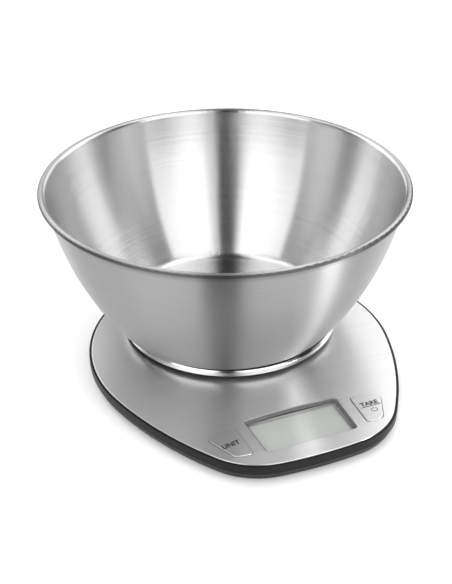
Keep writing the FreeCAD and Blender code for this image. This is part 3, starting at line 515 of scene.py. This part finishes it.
def dark_flag(name, rows, shadow=True, tone=0.01, density=1.0):
    """Matt black flag or scrim through rows of points that only shows as a reflection."""
    verts = [spot for row in rows for spot in row]
    faces = [(2 * i, 2 * i + 1, 2 * i + 3, 2 * i + 2) for i in range(len(rows) - 1)]
    mesh = bpy.data.meshes.new(name)
    mesh.from_pydata(verts, [], faces)
    paint = Paint(name).set(Roughness=0.9, Specular_IOR_Level=0.0, Alpha=density)
    paint.shader.inputs["Base Color"].default_value = (tone, tone, tone, 1)
    mesh.materials.append(paint.material)
    flag = bpy.data.objects.new(name, mesh)
    bpy.context.scene.collection.objects.link(flag)
    flag.visible_camera = False
    flag.visible_diffuse = False
    flag.visible_shadow = shadow


def arching_flag(name, left, right, reach, density=1.0):
    """Flag from the camera's side over the bowl to the far side, narrower overhead."""
    aside = (round_the_bowl(90, 0, 1) - round_the_bowl(-90, 0, 1)) / 2
    steps, start, end, narrowest = 30, -2, 180, 0.5
    rows = []
    for i in range(steps + 1):
        rise = start + (end - start) * i / steps
        spot = round_the_bowl(0, rise, reach)
        width = aside * max(narrowest, abs(math.cos(math.radians(rise))))
        rows.append([spot - width * left, spot + width * right])
    dark_flag(name, rows, density=density)


def upright_flag(name, azimuths, elevations, reach):
    """Flag between two azimuths that follows a circle upwards round the bowl."""
    steps, (low, high) = 12, elevations
    rises = [low + (high - low) * i / steps for i in range(steps + 1)]
    dark_flag(name, [[round_the_bowl(a, rise, reach) for a in azimuths] for rise in rises])


def floor_flag(name, azimuths, near, far, tone):
    """Dark strip just above the floor, in front of the scale, that casts no shadow."""
    rows = [[round_the_bowl(a, 0, reach) + Vector((0, 0, 0.001)) for a in azimuths]
            for reach in (near, far)]
    dark_flag(name, rows, False, tone)


def make_lights():
    world = bpy.data.worlds.new("studio")
    bpy.context.scene.world = world
    world.use_nodes = True
    background = world.node_tree.nodes["Background"]
    background.inputs["Color"].default_value = (1, 1, 1, 1)
    background.inputs["Strength"].default_value = 0.36
    softbox("left_softbox", (-58, -10), (12, 55), 1.5, 1.58)
    softbox("right_softbox", (7, 56), (12, 55), 1.5, 1.58)
    softbox("left_side_light", (-138, -108), (2, 50), 1.5, 1.2)
    softbox("right_side_light", (104, 132), (2, 50), 1.5, 1.2)
    softbox("back_light", (135, 225), (4, 72), 1.6, 1.0)
    softbox("low_strip", (55, 67), (1, 8), 0.9, 38.0)
    area_light("top_light", (BOWL.x, BOWL.y, 1.7), (BOWL.x, BOWL.y, 0), 1.7, 13)
    arching_flag("arching_flag", 0.235, 0.145, 1.2)
    arching_flag("arching_scrim", 0.34, 0.32, 1.21, 0.4)
    upright_flag("left_flag", (-103, -86), (-2, 88), 1.3)
    upright_flag("right_flag", (74, 92), (-2, 88), 1.3)
    floor_flag("floor_flag", (-12, 8), 0.2, 1.2, 0.02)


def make_camera():
    """Camera at the photograph's angle, placed about the bowl's axis."""
    down, roll = math.radians(31.49), math.radians(-0.45)
    away, above = 666.2 * MM, 327.6 * MM
    lens = bpy.data.cameras.new("camera")
    lens.sensor_fit = "VERTICAL"
    lens.sensor_height = 36
    lens.lens = 74.0
    lens.clip_start = 0.01
    camera = bpy.data.objects.new("camera", lens)
    bpy.context.scene.collection.objects.link(camera)
    camera.location = (BOWL.x - away * math.sin(HEADING), BOWL.y - away * math.cos(HEADING),
                       top_of("bowl") + above)
    turn = Matrix.Rotation(-HEADING, 4, "Z") @ Matrix.Rotation(math.pi / 2 - down, 4, "X")
    camera.rotation_euler = (turn @ Matrix.Rotation(roll, 4, "Z")).to_euler()
    bpy.context.scene.camera = camera


dress_all()
make_labels()
make_floor()
make_backdrop()
make_lights()
make_camera()

bpy.context.scene.view_settings.view_transform = "Standard"
